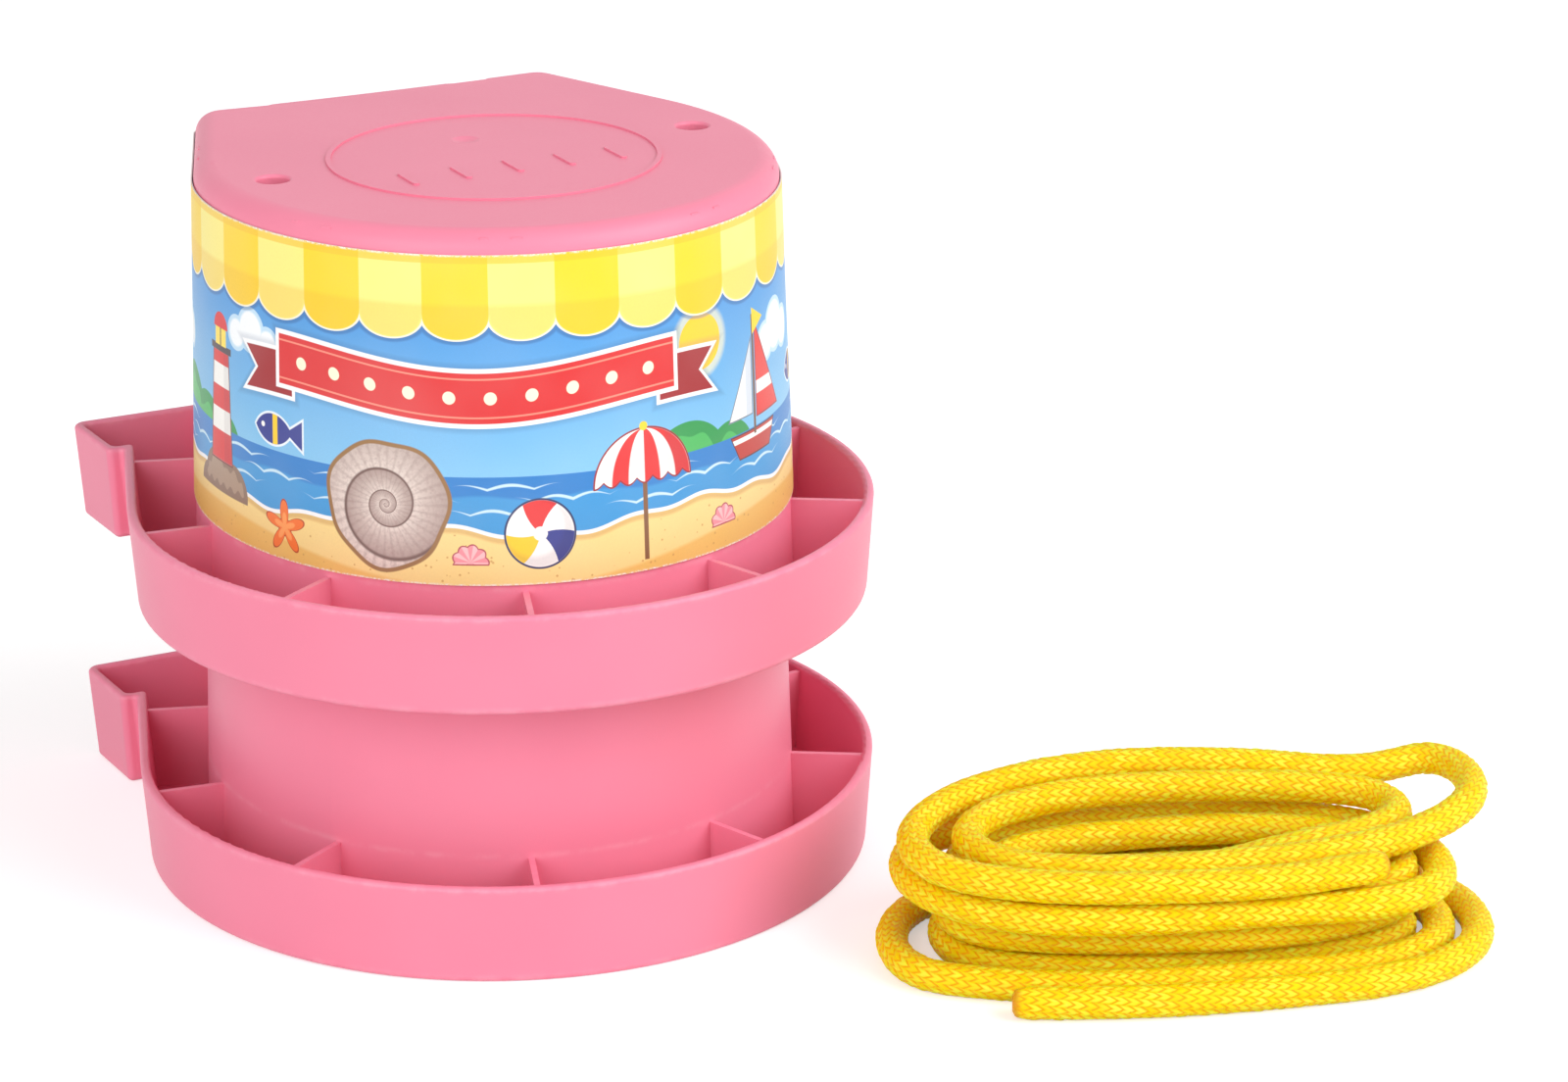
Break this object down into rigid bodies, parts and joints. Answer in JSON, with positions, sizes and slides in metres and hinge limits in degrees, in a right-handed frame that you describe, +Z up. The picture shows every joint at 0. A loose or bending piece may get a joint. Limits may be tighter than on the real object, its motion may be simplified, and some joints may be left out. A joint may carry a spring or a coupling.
{
  "type": "pot stilts with rope",
  "caption": "Nesting plastic pot stilts with horseshoe feet, rope holes in the tread, a printed paper band and a loose hank of knitted rope.",
  "frame": {"origin": "on the ground, under the centre of the pots' bounding box", "axes": "+Z up, -Y towards the toe of the horseshoe, +X to the wearer's left when the toes point forward"},
  "size_m": [0.2343, 0.2327, 0.1444],
  "materials": {
    "pot_plastic": "satin pink moulded plastic with a fine grain",
    "printed_paper": "smooth printed paper with a soft coating",
    "rope": "yellow knitted cord"
  },
  "bodies": {
    "lower_pot": {"lower_pot": "pot_plastic"},
    "upper_pot": {"upper_pot": "pot_plastic"},
    "paper_band": {"paper_band": "printed_paper"},
    "lower_rope": {"rope_lower_layers": "rope"},
    "upper_rope": {"rope_upper_layers": "rope"}
  },
  "joints": [
    {"name": "upper_pot_lift", "type": "slide", "parent": "lower_pot", "child": "upper_pot", "axis": [0, 0, 1], "range_m": [0, 0.1]},
    {"name": "band_lift", "type": "slide", "parent": "upper_pot", "child": "paper_band", "axis": [0, 0, 1], "range_m": [0, 0.075]},
    {"name": "lower_rope_lift", "type": "slide", "parent": "lower_pot", "child": "lower_rope", "axis": [0, 0, 1], "range_m": [0, 0.05]},
    {"name": "upper_rope_lift", "type": "slide", "parent": "lower_rope", "child": "upper_rope", "axis": [0, 0, 1], "range_m": [0, 0.05]}
  ]
}
